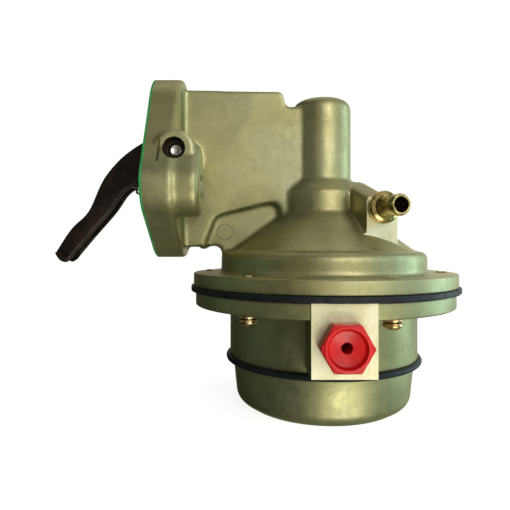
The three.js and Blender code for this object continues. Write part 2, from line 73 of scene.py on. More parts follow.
# ------------------------------------------------------------------ driving dimensions
FLANGE_X = -81.0
FLANGE_THICK = 12.5
GASKET_THICK = 1.0
BOLT_Z = 105.0
BOLT_Y = 28.0
BOLT_HOLE_R = 5.5
EAR_R = 14.8
EAR_BOSS_X = -57.5
PINCH_R = 14.4
PIVOT_X, PIVOT_Z = -68.5, 120.7
PIN_R = 3.5
PIN_HALF = 29.5
RECESS_R = 4.9
BUSH_R = 4.4
ARM_HALF, ARM_INNER_HALF, LEVER_HALF = 6.5, 4.0, 2.5
BOX_HALF, WEB_HALF, BOX_BORE_HALF = 10.5, 8.0, 7.5
TOWER_R, TOWER_TOP, TOWER_BORE_R = 14.5, 151.4, 10.5
COLLAR_R = 20.0
DOME_R = 50.4
RIM_R, RIM_LOW, RIM_HIGH = 64.0, 59.65, 65.7
NECK_CEILING = 90.5
DIAPHRAGM_R, DIAPHRAGM_LOW, DIAPHRAGM_HIGH = 65.3, 57.0, 59.6
BODY_LOW, BODY_R = 25.4, 46.0
DECK_LOW, DECK_HIGH = 42.5, 48.5
VALVE_Y = 22.0
PORT_Z, PORT_R, PORT_FACE = 41.0, 7.2, 62.5
PORT_BOSS_HALF, PORT_BOSS_LOW = 12.8, 28.4
BOWL_TOP, BOWL_UNDERSIDE = 23.4, 0.8
BEAD_R, BEAD_Z, BEAD = 46.5, 24.4, 1.5
SCREW_CIRCLE_R, SCREW_R, SCREW_HOLE_R = 57.5, 2.4, 2.7
SCREW_FIRST_DEG = 20.6
HEAD_LOW, HEAD_HIGH = 45.8, 48.75
LOWER_RIM_UNDERSIDE = 50.2
NIPPLE_DEG, NIPPLE_Z, NIPPLE_SIDE = 15.0, 95.6, 14.4
NIPPLE_SEAT, NIPPLE_END = 34.6, 50.0

bowl_low, bowl_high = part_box("bowl")
TO_ROW = (
    Matrix.Translation(((bowl_low.x + bowl_high.x) / 2, 0, bowl_low.z))
    @ Matrix.Scale(0.001, 4)
    @ Matrix.Translation((0, 0, -BOWL_UNDERSIDE))
)


# ------------------------------------------------------------------ mesh tools
def mesh_object(name, verts, faces):
    mesh = bpy.data.meshes.new(name)
    mesh.from_pydata([tuple(v) for v in verts], [], faces)
    bm = bmesh.new()
    bm.from_mesh(mesh)
    bmesh.ops.recalc_face_normals(bm, faces=bm.faces)
    bm.to_mesh(mesh)
    bm.free()
    obj = bpy.data.objects.new(name, mesh)
    bpy.context.scene.collection.objects.link(obj)
    return obj


def fillet(points, steps=5):
    """A closed outline with every (u, v, r) corner rounded; (u, v) corners stay sharp."""
    out = []
    for i, point in enumerate(points):
        here = Vector(point[:2])
        if len(point) < 3:
            out.append(here)
            continue
        back = Vector(points[i - 1][:2]) - here
        ahead = Vector(points[(i + 1) % len(points)][:2]) - here
        half = back.angle(ahead) / 2
        reach = min(point[2] / math.tan(half), 0.49 * back.length, 0.49 * ahead.length)
        radius = reach * math.tan(half)
        centre = here + (back.normalized() + ahead.normalized()).normalized() * radius / math.sin(half)
        start = here + back.normalized() * reach - centre
        end = here + ahead.normalized() * reach - centre
        first = math.atan2(start.y, start.x)
        sweep = (math.atan2(end.y, end.x) - first + math.pi) % (2 * math.pi) - math.pi
        for k in range(steps + 1):
            angle = first + sweep * k / steps
            out.append(centre + radius * Vector((math.cos(angle), math.sin(angle))))
    return out


def lathe(name, outline, steps=144):
    """A closed outline of (radius, z) points turned about the z axis."""
    verts, rings = [], []
    for r, z in outline:
        if r < 1e-6:
            rings.append([len(verts)] * steps)
            verts.append((0, 0, z))
            continue
        rings.append([len(verts) + k for k in range(steps)])
        for k in range(steps):
            angle = 2 * math.pi * k / steps
            verts.append((r * math.cos(angle), r * math.sin(angle), z))
    faces = []
    for i, ring in enumerate(rings):
        after = rings[(i + 1) % len(rings)]
        if ring[0] == ring[1] and after[0] == after[1]:
            continue
        for k in range(steps):
            m = (k + 1) % steps
            faces.append(list(dict.fromkeys((ring[k], ring[m], after[m], after[k]))))
    return mesh_object(name, verts, faces)


def prism(name, outline, axis, low, high):
    """An outline of (y, z), (x, z) or (x, y) points, from low to high along the axis left over."""
    put = {
        "x": lambda u, v, w: (w, u, v),
        "y": lambda u, v, w: (u, w, v),
        "z": lambda u, v, w: (u, v, w),
    }[axis]
    n = len(outline)
    verts = [put(u, v, w) for w in (low, high) for u, v in outline]
    sides = [[i, (i + 1) % n, n + (i + 1) % n, n + i] for i in range(n)]
    return mesh_object(name, verts, [list(range(n)), list(range(n, 2 * n)), *sides])


def block(name, x0, x1, y0, y1, z0, z1):
    return prism(name, [(x0, y0), (x1, y0), (x1, y1), (x0, y1)], "z", z0, z1)


def aim(obj, start, towards):
    turn = Vector((0, 0, 1)).rotation_difference(Vector(towards))
    obj.data.transform(Matrix.Translation(Vector(start)) @ turn.to_matrix().to_4x4())
    return obj


def turned(name, outline, start, towards, steps=64):
    """A turned piece whose own z axis starts at start and points towards."""
    return aim(lathe(name, outline, steps), start, towards)


def bar(name, radius, start, end, steps=56):
    along = Vector(end) - Vector(start)
    length = along.length
    return turned(name, [(0, 0), (radius, 0), (radius, length), (0, length)], start, along, steps)


def tube(name, inner, outer, start, end, steps=64, round_over=0.3):
    along = Vector(end) - Vector(start)
    length = along.length
    outline = fillet(
        [
            (inner, 0, round_over),
            (outer, 0, round_over),
            (outer, length, round_over),
            (inner, length, round_over),
        ],
        3,
    )
    return turned(name, outline, start, along, steps)


def belt(circles, steps=20):
    """The outline of a belt round (u, v, radius) circles, taken anticlockwise."""

    def tangent(a, b):
        run = math.hypot(b[0] - a[0], b[1] - a[1])
        return math.atan2(b[1] - a[1], b[0] - a[0]) - math.acos((a[2] - b[2]) / run)

    out = []
    for i, circle in enumerate(circles):
        first = tangent(circles[i - 1], circle)
        sweep = (tangent(circle, circles[(i + 1) % len(circles)]) - first) % (2 * math.pi)
        for k in range(steps + 1):
            angle = first + sweep * k / steps
            out.append((circle[0] + circle[2] * math.cos(angle), circle[1] + circle[2] * math.sin(angle)))
    return out


def coil(name, wire, radius, turns, start, end, steps_per_turn=40):
    """A round-wire coil whose end turns close up, as on a ground compression spring."""
    along = Vector(end) - Vector(start)
    count = int(turns * steps_per_turn)
    verts, faces, sides = [], [], 12
    for i in range(count + 1):
        t = i / count
        lead = min(t, 1 - t) * turns
        climb = t if lead > 1 else (t - 0.35 * (1 - lead) * (0.5 / turns) * (1 if t < 0.5 else -1))
        angle = 2 * math.pi * turns * t
        outward = Vector((math.cos(angle), math.sin(angle), 0))
        centre = outward * radius + Vector((0, 0, along.length * min(max(climb, 0), 1)))
        for k in range(sides):
            a = 2 * math.pi * k / sides
            verts.append(centre + wire * (outward * math.cos(a) + Vector((0, 0, math.sin(a)))))
    for i in range(count):
        for k in range(sides):
            m = (k + 1) % sides
            faces.append([i * sides + k, i * sides + m, (i + 1) * sides + m, (i + 1) * sides + k])
    faces.append(list(range(sides)))
    faces.append([count * sides + k for k in range(sides)])
    return aim(mesh_object(name, verts, faces), start, along)


def soften(obj, test, width, segments=4):
    """Bevels the edges whose two ends both pass the test."""
    bm = bmesh.new()
    bm.from_mesh(obj.data)
    edges = [e for e in bm.edges if test(e.verts[0].co) and test(e.verts[1].co)]
    bmesh.ops.bevel(bm, geom=edges, offset=width, segments=segments, profile=0.5, affect="EDGES")
    bm.to_mesh(obj.data)
    bm.free()
    return obj


def split_large(obj):
    """Splits many-sided faces, so that a concave outline is never filled across."""
    bm = bmesh.new()
    bm.from_mesh(obj.data)
    large = [face for face in bm.faces if len(face.verts) > 4]
    bmesh.ops.triangulate(bm, faces=large, ngon_method="EAR_CLIP")
    bm.to_mesh(obj.data)
    bm.free()
    return obj


def bake(obj):
    """Applies the object's modifiers."""
    graph = bpy.context.evaluated_depsgraph_get()
    mesh = bpy.data.meshes.new_from_object(obj.evaluated_get(graph), depsgraph=graph)
    before = obj.data
    obj.modifiers.clear()
    obj.data = mesh
    bpy.data.meshes.remove(before)
    return obj


def solid(obj, operation, tools):
    for part in (obj, *tools):
        split_large(part)
    for tool in tools:
        step = obj.modifiers.new("solid", "BOOLEAN")
        step.operation = operation
        step.solver = "MANIFOLD"
        step.object = tool
    bake(obj)
    for tool in tools:
        bpy.data.objects.remove(tool)
    return obj


def cut(obj, *tools):
    return solid(obj, "DIFFERENCE", tools)


def join(obj, *tools):
    return solid(obj, "UNION", tools)


def cast(name, parts, voxel, rounds):
    """Melts overlapping parts into one casting with soft fillets."""
    bm = bmesh.new()
    for part in parts:
        bm.from_mesh(part.data)
        bpy.data.objects.remove(part)
    mesh = bpy.data.meshes.new(name)
    bm.to_mesh(mesh)
    bm.free()
    obj = bpy.data.objects.new(name, mesh)
    bpy.context.scene.collection.objects.link(obj)
    remesh = obj.modifiers.new("remesh", "REMESH")
    remesh.mode = "VOXEL"
    remesh.voxel_size = voxel
    smooth = obj.modifiers.new("smooth", "SMOOTH")
    smooth.factor = 0.5
    smooth.iterations = rounds
    return bake(obj)


def piece(obj, name, nodes, body, material, others=(), pick=None, angle=34):
    """Finishes a piece: row frame, materials, shading, and hides the CAD nodes it stands for.
    body is a body's name, or for a spring a tuple (still body, moving body, still end, moving end) that is
    not used.
    pick gives a face's material number from its centre and normal in millimetres."""
    obj.name = name
    obj.data.name = name
    obj.data.materials.clear()
    for paint in (material, *others):
        obj.data.materials.append(paint)
    for face in obj.data.polygons:
        face.material_index = pick(face.center, face.normal) if pick else 0
    obj.data.transform(TO_ROW)
    obj.data.shade_smooth()
    obj.data.set_sharp_from_angle(angle=math.radians(angle))
    if isinstance(body, str):
        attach(obj, body)
    else:
        still, moving, still_end, moving_end = body
        TO_ROW @ Vector(still_end)
        TO_ROW @ Vector(moving_end)
        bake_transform(obj)
    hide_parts(*nodes)
    return obj


# ------------------------------------------------------------------ material tools
class Paint:
    """A Principled material built from procedural nodes in object space."""

    def __init__(self, name, metallic, **fixed):
        self.material = bpy.data.materials.new(name)
        self.material.use_nodes = True
        self.tree = self.material.node_tree
        self.shader = self.tree.nodes["Principled BSDF"]
        self.shader.inputs["Metallic"].default_value = metallic
        for key, value in fixed.items():
            self.shader.inputs[key.replace("_", " ")].default_value = value
        self.place = self.node("ShaderNodeTexCoord").outputs["Object"]

    def node(self, kind, **settings):
        made = self.tree.nodes.new(kind)
        for key, value in settings.items():
            setattr(made, key, value)
        return made

    def feed(self, socket, value):
        if isinstance(value, bpy.types.NodeSocket):
            self.tree.links.new(value, socket)
        elif isinstance(value, tuple) and len(value) == 3 and socket.type == "RGBA":
            socket.default_value = (*value, 1)
        else:
            socket.default_value = value

    def stretched(self, x, y, z):
        mapping = self.node("ShaderNodeMapping")
        self.feed(mapping.inputs["Vector"], self.place)
        mapping.inputs["Scale"].default_value = (x, y, z)
        return mapping.outputs["Vector"]

    def noise(self, size_mm, detail=3, rough=0.55, distort=0.0, vector=None):
        made = self.node("ShaderNodeTexNoise")
        self.feed(made.inputs["Vector"], vector or self.place)
        self.feed(made.inputs["Scale"], 1000 / size_mm)
        self.feed(made.inputs["Detail"], detail)
        self.feed(made.inputs["Roughness"], rough)
        self.feed(made.inputs["Distortion"], distort)
        return made.outputs["Fac"]

    def span(self, value, low, high, to_low=0.0, to_high=1.0):
        made = self.node("ShaderNodeMapRange")
        made.clamp = True
        for socket, number in zip(made.inputs[1:5], (low, high, to_low, to_high)):
            self.feed(socket, number)
        self.feed(made.inputs[0], value)
        return made.outputs[0]

    def sum(self, operation, a, b):
        made = self.node("ShaderNodeMath", operation=operation)
        self.feed(made.inputs[0], a)
        self.feed(made.inputs[1], b)
        return made.outputs[0]

    def mix(self, factor, a, b, blend="MIX"):
        made = self.node("ShaderNodeMix", data_type="RGBA", blend_type=blend)
        self.feed(made.inputs[0], factor)
        self.feed(made.inputs[6], a)
        self.feed(made.inputs[7], b)
        return made.outputs[2]

    def ramp(self, factor, stops):
        made = self.node("ShaderNodeValToRGB")
        self.feed(made.inputs[0], factor)
        band = made.color_ramp.elements
        while len(band) < len(stops):
            band.new(0.5)
        for element, (at, colour) in zip(band, stops):
            element.position = at
            element.color = (*colour, 1)
        return made.outputs[0]

    def edges(self):
        """1 on outer edges, 0 on flat stretches and in hollows."""
        return self.span(self.node("ShaderNodeNewGeometry").outputs["Pointiness"], 0.53, 0.62)

    def hollows(self):
        # 1 in concave corners and grooves; the cast paint uses it as the mask for painted shade
        return self.span(self.node("ShaderNodeNewGeometry").outputs["Pointiness"], 0.488, 0.44)

    def bump(self, height, depth_mm, strength=1.0, over=None):
        made = self.node("ShaderNodeBump")
        self.feed(made.inputs["Strength"], strength)
        self.feed(made.inputs["Distance"], depth_mm / 1000)
        self.feed(made.inputs["Height"], height)
        if over:
            self.feed(made.inputs["Normal"], over)
        return made.outputs["Normal"]

    def done(self, colour, roughness, normal):
        self.feed(self.shader.inputs["Base Color"], colour)
        self.feed(self.shader.inputs["Roughness"], roughness)
        self.feed(self.shader.inputs["Normal"], normal)
        return self.material


def cast_paint(name, olive, gold, cool):
    """Yellow-chromated die casting: satin, patchy from olive to gold with a cool bloom, and painted shade
    darkening its hollows.
    """
    p = Paint(name, 0.9)
    patches = p.span(p.noise(26, 3, 0.6, 0.6), 0.36, 0.64)
    bloom = p.span(p.noise(47, 2, 0.5, 0.3), 0.45, 0.7, 0, 0.55)
    flow = p.span(p.noise(9, 4, 0.6, 1.2, p.stretched(1, 1, 0.35)), 0.35, 0.7, 0, 0.35)
    mottle = p.span(p.noise(1.6, 4, 0.65), 0.3, 0.7)
    colour = p.mix(patches, olive, gold)
    colour = p.mix(bloom, colour, cool)
    colour = p.mix(flow, colour, tuple(0.8 * c for c in gold))
    colour = p.mix(p.sum("MULTIPLY", mottle, 0.22), colour, tuple(0.62 * c for c in olive))
    # painted shade: concave corners and grooves darkened towards near black
    colour = p.mix(p.sum("MULTIPLY", p.hollows(), 0.7), colour, (0.045, 0.042, 0.022))
    worn = p.sum("MULTIPLY", p.edges(), p.span(p.noise(4, 3), 0.35, 0.65, 0.25, 1))
    colour = p.mix(p.sum("MULTIPLY", worn, 0.5), colour, (0.72, 0.7, 0.52))
    specks = p.span(p.noise(0.9, 2, 0.5), 0.70, 0.76, 0, 0.5)
    colour = p.mix(specks, colour, (0.09, 0.08, 0.04))
    rough = p.sum("ADD", p.span(p.noise(5, 4, 0.6), 0.3, 0.7, 0.36, 0.5), p.sum("MULTIPLY", mottle, 0.06))
    skin = p.bump(p.noise(0.55, 3, 0.6), 0.035, 0.55)
    skin = p.bump(p.noise(2.6, 3, 0.5), 0.09, 0.5, skin)
    skin = p.bump(p.noise(11, 2, 0.5), 0.3, 0.3, skin)
    return p.done(colour, rough, skin)


def machined_paint():
    """Milled face under the same chromate: pale, with fine cutter lines."""
    p = Paint("machined_face", 0.75)
    arcs = p.noise(0.5, 2, 0.5, 0.2, p.stretched(1, 1, 0.08))
    stain = p.span(p.noise(7, 3, 0.6, 0.5), 0.35, 0.68)
    colour = p.mix(stain, (0.66, 0.62, 0.4), (0.78, 0.75, 0.55))
    colour = p.mix(p.span(arcs, 0.35, 0.65, 0, 0.25), colour, (0.42, 0.39, 0.22))
    colour = p.mix(p.sum("MULTIPLY", p.edges(), 0.5), colour, (0.85, 0.83, 0.66))
    rough = p.span(p.noise(3, 3), 0.3, 0.7, 0.34, 0.46)
    return p.done(colour, rough, p.bump(arcs, 0.02, 0.5))


def zinc_paint():
    """Yellow zinc plate with its rainbow film."""
    p = Paint("zinc_yellow", 1.0)
    film = p.sum(
        "ADD",
        p.span(p.noise(2.6, 3, 0.6, 0.8), 0.3, 0.7, 0, 0.8),
        p.span(p.noise(9, 1), 0.35, 0.65, 0, 0.25),
    )
    colour = p.ramp(
        film,
        [
            (0.0, (0.5, 0.36, 0.09)),
            (0.28, (0.78, 0.62, 0.24)),
            (0.45, (0.42, 0.4, 0.14)),
            (0.6, (0.72, 0.26, 0.16)),
            (0.72, (0.8, 0.66, 0.32)),
            (0.88, (0.3, 0.44, 0.3)),
        ],
    )
    colour = p.mix(p.sum("MULTIPLY", p.edges(), 0.5), colour, (0.8, 0.76, 0.6))
    rough = p.span(p.noise(1.2, 3), 0.3, 0.7, 0.2, 0.36)
    return p.done(colour, rough, p.bump(p.noise(0.5, 3), 0.02, 0.5))


def steel_paint():
    """Ground and drawn bright steel."""
    p = Paint("bright_steel", 1.0)
    lines = p.noise(0.25, 2, 0.5, 0, p.stretched(1, 0.06, 1))
    colour = p.mix(p.span(p.noise(6, 3), 0.35, 0.65), (0.5, 0.5, 0.49), (0.68, 0.67, 0.64))
    colour = p.mix(p.span(p.noise(2, 4, 0.7), 0.62, 0.75, 0, 0.6), colour, (0.24, 0.19, 0.13))
    rough = p.span(p.noise(1.5, 3), 0.3, 0.7, 0.2, 0.34)
    return p.done(colour, rough, p.bump(lines, 0.01, 0.5))


def dark_steel_paint():
    """Heat-blackened stamping under a film of oil, rubbed brown along its edges."""
    p = Paint("dark_steel", 0.55)
    film = p.span(p.noise(14, 3, 0.6, 0.8), 0.38, 0.66)
    colour = p.mix(film, (0.006, 0.004, 0.003), (0.030, 0.014, 0.008))
    colour = p.mix(p.span(p.noise(3.5, 4, 0.65), 0.5, 0.75, 0, 0.5), colour, (0.05, 0.03, 0.018))
    rub = p.sum("MULTIPLY", p.edges(), p.span(p.noise(2.5, 3), 0.3, 0.6))
    colour = p.mix(p.sum("MULTIPLY", rub, 0.6), colour, (0.22, 0.17, 0.12))
    rough = p.span(p.noise(6, 4, 0.6), 0.3, 0.7, 0.3, 0.48)
    skin = p.bump(p.noise(0.6, 3), 0.02, 0.5)
    return p.done(colour, rough, p.bump(p.noise(5, 2), 0.12, 0.35, skin))


def brass_paint():
    """Plated brass, gone coppery and olive in patches."""
    p = Paint("brass", 1.0)
    colour = p.ramp(
        p.span(p.noise(4.5, 3, 0.5, 0.8), 0.28, 0.72),
        [
            (0.0, (0.10, 0.09, 0.035)),
            (0.35, (0.36, 0.30, 0.11)),
            (0.62, (0.66, 0.54, 0.22)),
            (0.85, (0.50, 0.16, 0.07)),
        ],
    )
    colour = p.mix(p.sum("MULTIPLY", p.edges(), 0.6), colour, (0.9, 0.82, 0.5))
    rough = p.span(p.noise(1.2, 3), 0.3, 0.7, 0.16, 0.32)
    return p.done(colour, rough, p.bump(p.noise(0.35, 2, 0.5), 0.012, 0.5))


def rubber_paint():
    p = Paint("black_rubber", 0.0, Specular_IOR_Level=0.3)
    colour = p.mix(p.span(p.noise(8, 3), 0.35, 0.65), (0.004, 0.005, 0.007), (0.010, 0.012, 0.018))
    dust = p.span(p.noise(1.1, 4, 0.7), 0.62, 0.76, 0, 0.3)
    colour = p.mix(dust, colour, (0.09, 0.10, 0.11))
    colour = p.mix(p.sum("MULTIPLY", p.edges(), 0.2), colour, (0.05, 0.055, 0.065))
    rough = p.span(p.noise(3, 3), 0.3, 0.7, 0.4, 0.62)
    skin = p.bump(p.noise(0.7, 3, 0.6), 0.05, 0.6)
    return p.done(colour, rough, p.bump(p.noise(3.5, 2), 0.15, 0.4, skin))


def plastic_paint():
    """Red moulded plastic, a little scuffed."""
    p = Paint("red_plastic", 0.0, Specular_IOR_Level=0.3, Coat_Weight=0.08, Coat_Roughness=0.2)
    colour = p.mix(p.span(p.noise(9, 3), 0.35, 0.65), (0.50, 0.004, 0.006), (0.70, 0.009, 0.012))
    scuff = p.span(p.noise(1.3, 4, 0.7, 0.6), 0.58, 0.74, 0, 0.3)
    colour = p.mix(scuff, colour, (0.82, 0.05, 0.045))
    colour = p.mix(p.sum("MULTIPLY", p.edges(), 0.3), colour, (0.88, 0.05, 0.04))
    rough = p.span(p.noise(2.2, 3), 0.3, 0.7, 0.26, 0.42)
    skin = p.bump(p.noise(0.8, 2), 0.03, 0.4)
    return p.done(colour, rough, p.bump(p.noise(4, 2), 0.12, 0.35, skin))


def fibre_paint():
    """Green compressed-fibre sheet with its grain along y."""
    p = Paint("gasket_fibre", 0.0, Specular_IOR_Level=0.25)
    strands = p.noise(0.9, 4, 0.65, 0.6, p.stretched(1, 0.14, 1))
    clouds = p.span(p.noise(7, 3, 0.6, 0.4, p.stretched(1, 0.4, 1)), 0.35, 0.68)
    colour = p.mix(clouds, (0.012, 0.19, 0.035), (0.022, 0.30, 0.07))
    colour = p.mix(p.span(strands, 0.42, 0.68, 0, 0.7), colour, (0.09, 0.46, 0.17))
    colour = p.mix(p.span(strands, 0.42, 0.28, 0, 0.7), colour, (0.006, 0.10, 0.02))
    rough = p.span(p.noise(2, 3), 0.3, 0.7, 0.62, 0.85)
    return p.done(colour, rough, p.bump(strands, 0.06, 0.7))


CAST = cast_paint("cast_metal", (0.33, 0.315, 0.15), (0.47, 0.44, 0.22), (0.36, 0.385, 0.27))
CAST_LOWER = cast_paint("cast_metal_lower", (0.31, 0.31, 0.15), (0.45, 0.43, 0.22), (0.33, 0.37, 0.26))
MACHINED = machined_paint()
ZINC = zinc_paint()
STEEL = steel_paint()
DARK = dark_steel_paint()
BRASS = brass_paint()
RUBBER = rubber_paint()
PLASTIC = plastic_paint()
FIBRE = fibre_paint()
PAINTS = {
    "cast_metal": CAST,
    "zinc_steel": ZINC,
    "bright_steel": STEEL,
    "dark_steel": DARK,
    "brass": BRASS,
    "black_rubber": RUBBER,
    "red_plastic": PLASTIC,
    "gasket_fibre": FIBRE,
}

# CAD nodes that stay in view take the paint of their slot.
for part in frame["record"]["subparts"]:
    node = frame["nodes"][part["node"]]
    node.data.materials.clear()
    node.data.materials.append(PAINTS[part["material_slot"]])


# ------------------------------------------------------------------ shared outlines
def flange_outline(low_inset=0.0, high_inset=0.0, ear_inset=0.0):
    ear = EAR_R - ear_inset
    circles = [
        (BOLT_Y, 0, ear),
        (0, 30.5, 25.5 - high_inset),
        (-BOLT_Y, 0, ear),
        (0, -5.5, 26.5 - low_inset),
    ]
    return [(y, v + BOLT_Z) for y, v in belt(circles, 28)]


def bolt_holes(radius, x0, x1):
    return [
        bar("bolt_hole", radius, (x0, s * BOLT_Y, BOLT_Z), (x1, s * BOLT_Y, BOLT_Z)) for s in (-1, 1)
    ]


def window(inset, x0, x1):
    opening = prism("window", flange_outline(11 + inset, 14 + inset, 12.4 + inset), "x", x0, x1)
    return cut(opening, *bolt_holes(PINCH_R + inset, x0 - 1, x1 + 1))


SCREW_ANGLES = [math.radians(SCREW_FIRST_DEG + 60 * i) for i in range(6)]


def screw_spot(angle):
    return SCREW_CIRCLE_R * math.sin(angle), -SCREW_CIRCLE_R * math.cos(angle)


def screw_holes(low, high):
    spots = [screw_spot(angle) for angle in SCREW_ANGLES]
    return [bar("screw_hole", SCREW_HOLE_R, (x, y, low), (x, y, high), 24) for x, y in spots]


TURN = math.radians(NIPPLE_DEG)


def nipple_point(out, side, z):
    return Vector(
        (
            out * math.sin(TURN) + side * math.cos(TURN),
            -out * math.cos(TURN) + side * math.sin(TURN),
            z,
        )
    )


# ------------------------------------------------------------------ upper housing
def upper_housing():
    shell = [
        (0, RIM_LOW + 1),
        (DOME_R + 3, RIM_LOW + 1),
        (DOME_R + 3, RIM_HIGH - 0.6),
        (DOME_R, RIM_HIGH + 0.4),
        (DOME_R, 75.4, 3.6),
        (DOME_R - 5.5, 76.2, 2),
        (COLLAR_R, 94.6, 1.2),
        (COLLAR_R, 104.8, 1.2),
        (TOWER_R, 110.8, 2.5),
        (TOWER_R, 149.6, 6.5),
        (TOWER_R - 7, TOWER_TOP + 0.2, 4),
        (0, TOWER_TOP + 0.2),
    ]
    box = [
        (-72, 78.2),
        (-58.1, 78.0, 0.6),
        (-52.4, 93.0, 5),
        (-22.2, 100.4, 4.5),
        (-20.6, 84),
        (-12, 84),
        (-3, 110),
        (-3, 146.2),
        (-18.4, 146.2, 1.2),
        (-20.4, 153.4, 2.6),
        (-72, 154.2),
    ]
    web = [
        (-70, 78.4),
        (-57, 78.6, 1),
        (-50.0, 78.6, 7),
        (-49.6, RIM_HIGH - 0.5),
        (-30, RIM_HIGH - 0.5),
        (-COLLAR_R, 88),
        (-COLLAR_R, 100),
        (-60, 100),
    ]
    parts = [
        lathe("shell", fillet(shell, 6)),
        soften(
            prism("box", fillet(box), "y", -BOX_HALF, BOX_HALF),
            lambda c: c.z < 101 and -59 < c.x < -20,
            2.0,
            4,
        ),
        prism("web", fillet(web, 8), "y", -WEB_HALF, WEB_HALF),
    ]
    flange = prism("flange", flange_outline(), "x", FLANGE_X - 2, FLANGE_X + FLANGE_THICK)
    soften(flange, lambda c: c.x > FLANGE_X + FLANGE_THICK - 0.1, 1.0, 3)
    parts.append(flange)
    for side in (-1, 1):
        lobes = [(side * 27, 10, 9), (side * BOLT_Y, 0, 13.6)]
        outline = [(y, v + BOLT_Z) for y, v in belt(lobes, 24)]
        boss = prism("boss", outline, "x", FLANGE_X + 1, EAR_BOSS_X)
        soften(boss, lambda c: c.x > EAR_BOSS_X - 0.1, 2.6, 5)
        parts.append(boss)
        parts.append(bar("pin_boss", 8.6, (PIVOT_X, side * 8, PIVOT_Z), (PIVOT_X, side * 36.0, PIVOT_Z)))
    pad = [(0, 84), (28, 74), (36.4, 74), (36.4, 100.2), (31.5, 101.0), (8, 110.4), (0, 111.4)]
    wall = prism("pad", pad, "y", NIPPLE_SIDE - 7.6, NIPPLE_SIDE + 7.6)
    soften(wall, lambda c: c.y > NIPPLE_SIDE + 7 and c.z > 98, 4.5, 5)
    soften(wall, lambda c: c.y < NIPPLE_SIDE - 7 and c.z > 98, 2.0, 4)
    facing = Matrix((nipple_point(1, 0, 0), nipple_point(0, 1, 0), (0, 0, 1))).transposed()
    wall.data.transform(facing.to_4x4())
    parts.append(wall)
    housing = cast("upper_housing_cast", parts, 0.85, 7)

    rim = lathe(
        "rim",
        fillet(
            [
                (DOME_R - 2, RIM_LOW),
                (RIM_R, RIM_LOW, 0.5),
                (RIM_R, RIM_HIGH, 0.7),
                (DOME_R + 0.6, RIM_HIGH, 1.4),
                (DOME_R - 0.4, RIM_HIGH + 4),
                (DOME_R - 2, RIM_HIGH + 4),
            ],
            5,
        ),
        216,
    )
    trim = lathe(
        "trim", [(DOME_R + 1.2, 50), (90, 50), (90, RIM_HIGH + 0.35), (DOME_R + 1.2, RIM_HIGH + 0.35)]
    )
    floor_cut = lathe("floor", [(0, 40), (80, 40), (80, RIM_LOW), (0, RIM_LOW)])
    cut(housing, trim, floor_cut)
    join(housing, rim)

    chamber = [
        (0, RIM_LOW - 1),
        (46.5, RIM_LOW - 1),
        (46.5, 72, 2),
        (16.5, NECK_CEILING, 1),
        (0, NECK_CEILING),
    ]
    bore = [
        (FLANGE_X - 4, 86),
        (-62, 85),
        (-57, 86.5),
        (-52.5, 97, 3),
        (-28, 104.5, 2),
        (0, 106.5),
        (0, 142),
        (-24, 142, 1),
        (-25, 149, 2),
        (-70, 149.6, 1),
        (-71.5, 145.5),
        (FLANGE_X - 4, 145.5),
    ]
    seat = nipple_point(NIPPLE_SEAT, NIPPLE_SIDE, NIPPLE_Z)
    pad_face = block("pad_face", NIPPLE_SEAT, NIPPLE_SEAT + 9, NIPPLE_SIDE - 10, NIPPLE_SIDE + 10, 72, 109)
    pad_face.data.transform(facing.to_4x4())
    cut(pad_face, lathe("shell", fillet(shell, 6)))
    slot_left = prism(
        "slot", [(-50, 114.4), (-38.6, 114.4), (-33.6, 125.4), (-50, 125.4)], "x", -75.5, -74.4
    )
    ring_mark = [
        tube(
            "mark",
            3.5,
            4.1,
            (-48.3, s * (WEB_HALF - 0.45), 85.2),
            (-48.3, s * (WEB_HALF + 2), 85.2),
            48,
            0.1,
        )
        for s in (-1, 1)
    ]
    cut(
        housing,
        lathe("chamber", fillet(chamber)),
        bar("seal_seat", 9.6, (0, 0, NECK_CEILING - 1), (0, 0, 94.5)),
        bar("guide_seat", 6.8, (0, 0, 94), (0, 0, 104)),
        bar("tower_bore", TOWER_BORE_R, (0, 0, 103.6), (0, 0, 146)),
        prism("box_bore", fillet(bore), "y", -BOX_BORE_HALF, BOX_BORE_HALF),
        window(1.2, FLANGE_X - 4, FLANGE_X + 8),
        *bolt_holes(BOLT_HOLE_R, FLANGE_X - 4, EAR_BOSS_X + 1),
        bar("pin_bore", PIN_R + 0.3, (PIVOT_X, -31, PIVOT_Z), (PIVOT_X, 31, PIVOT_Z)),
        *[
            bar("recess", RECESS_R, (PIVOT_X, s * 30, PIVOT_Z), (PIVOT_X, s * 44, PIVOT_Z), 64)
            for s in (-1, 1)
        ],
        *screw_holes(RIM_LOW - 1, RIM_HIGH + 1),
        bar(
            "nipple_bore",
            4.6,
            nipple_point(NIPPLE_SEAT - 8, NIPPLE_SIDE, NIPPLE_Z),
            seat + (seat - nipple_point(30, NIPPLE_SIDE, NIPPLE_Z)),
        ),
        bar(
            "drain",
            2,
            nipple_point(NIPPLE_SEAT - 9, NIPPLE_SIDE, NIPPLE_Z),
            nipple_point(22, NIPPLE_SIDE, 78),
            24,
        ),
        block("flange_face", FLANGE_X - 9, FLANGE_X, -60, 60, 60, 170),
        pad_face,
        slot_left,
        *ring_mark,
    )
    join(housing, bar("spring_seat", 4.6, (-70.4, 0, 82), (-74.6, 0, 87.4), 32))
    out = nipple_point(1, 0, 0)

    def pick(centre, normal):
        on_flange = centre.x < FLANGE_X + 0.02 and normal.x < -0.9
        on_pad = (
            normal.dot(out) > 0.99
            and abs(centre.dot(out) - NIPPLE_SEAT) < 0.05
            and 76 < centre.z < 103
        )
